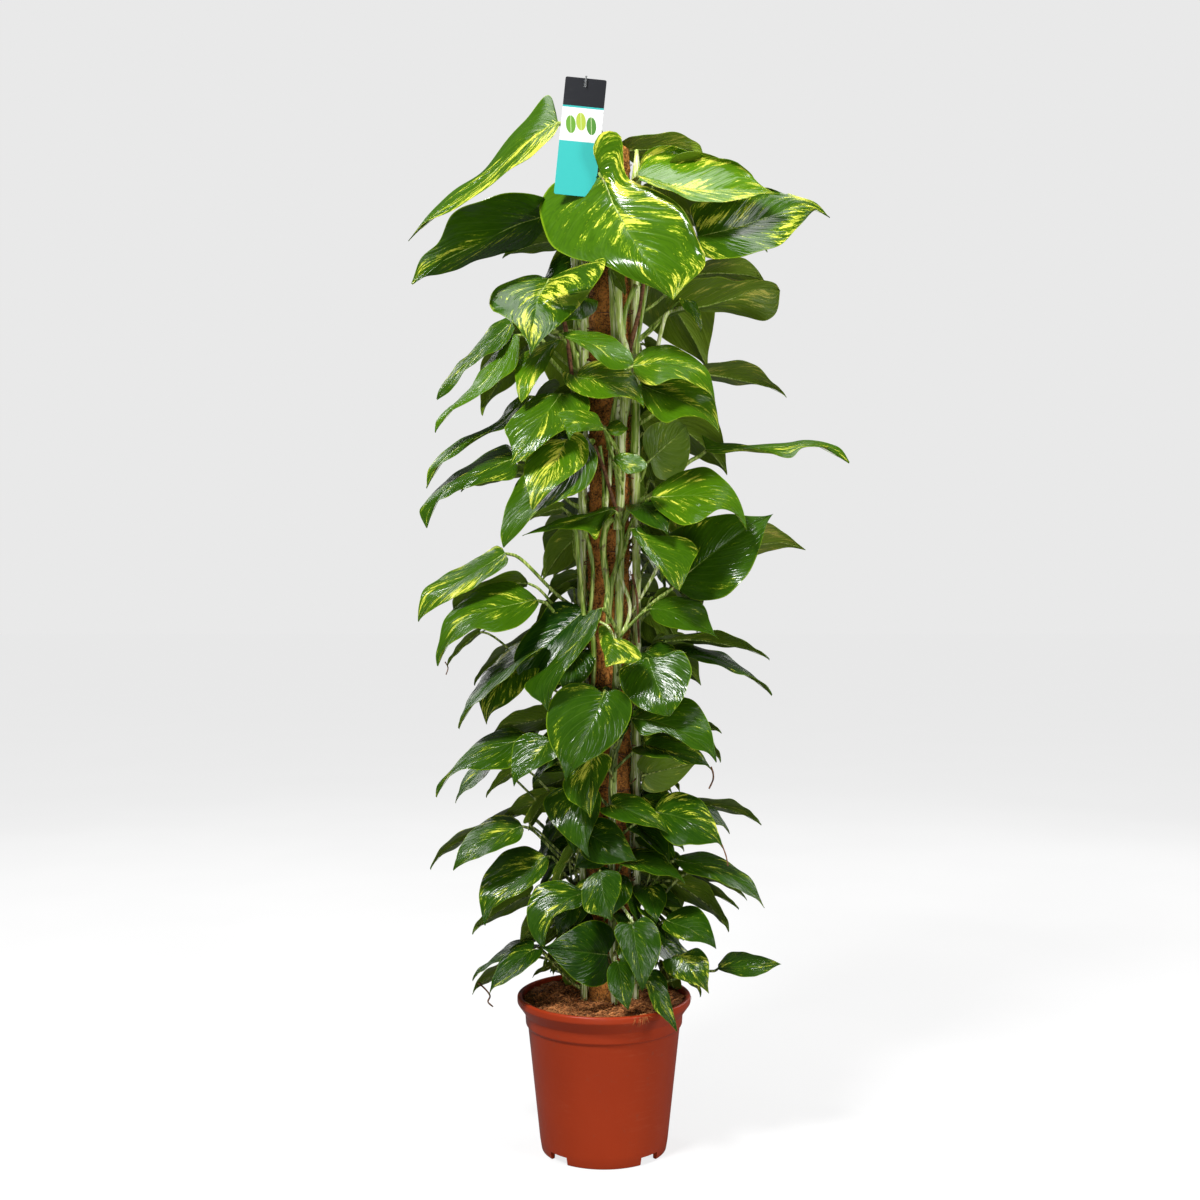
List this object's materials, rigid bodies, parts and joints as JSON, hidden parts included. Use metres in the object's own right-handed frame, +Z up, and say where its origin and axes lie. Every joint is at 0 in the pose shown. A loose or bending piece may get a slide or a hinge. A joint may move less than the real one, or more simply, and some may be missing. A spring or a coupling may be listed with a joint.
{
  "type": "potted climbing plant",
  "caption": "Golden pothos climbing a coir pole in a round plastic nursery pot, with heart-shaped variegated leaves on all sides and a plant tag at the top.",
  "frame": {"origin": "on the ground, under the middle of the whole plant's box", "axes": "+Z up along the pole, -Y towards the front of the plant, +X to its right as seen from the front"},
  "size_m": [0.6134, 0.415, 1.4726],
  "materials": {
    "pot_plastic": "satin moulded, terracotta coloured",
    "potting_soil": "loose coir and peat",
    "stake_wood": "raw",
    "coir": "matted fibre",
    "foliage": "glossy leaf, green with yellow streaks",
    "clear_plastic": "clear",
    "tag_card": "printed film, satin"
  },
  "bodies": {
    "root": {"pot": "pot_plastic", "soil": "potting_soil", "pole_core": "stake_wood", "coir_sleeve": "coir", "vine_left": "foliage", "vine_front": "foliage", "vine_right": "foliage", "vine_back_left": "foliage", "vine_back_right": "foliage", "tag_stake": "clear_plastic", "tag": "tag_card"}
  },
  "joints": []
}
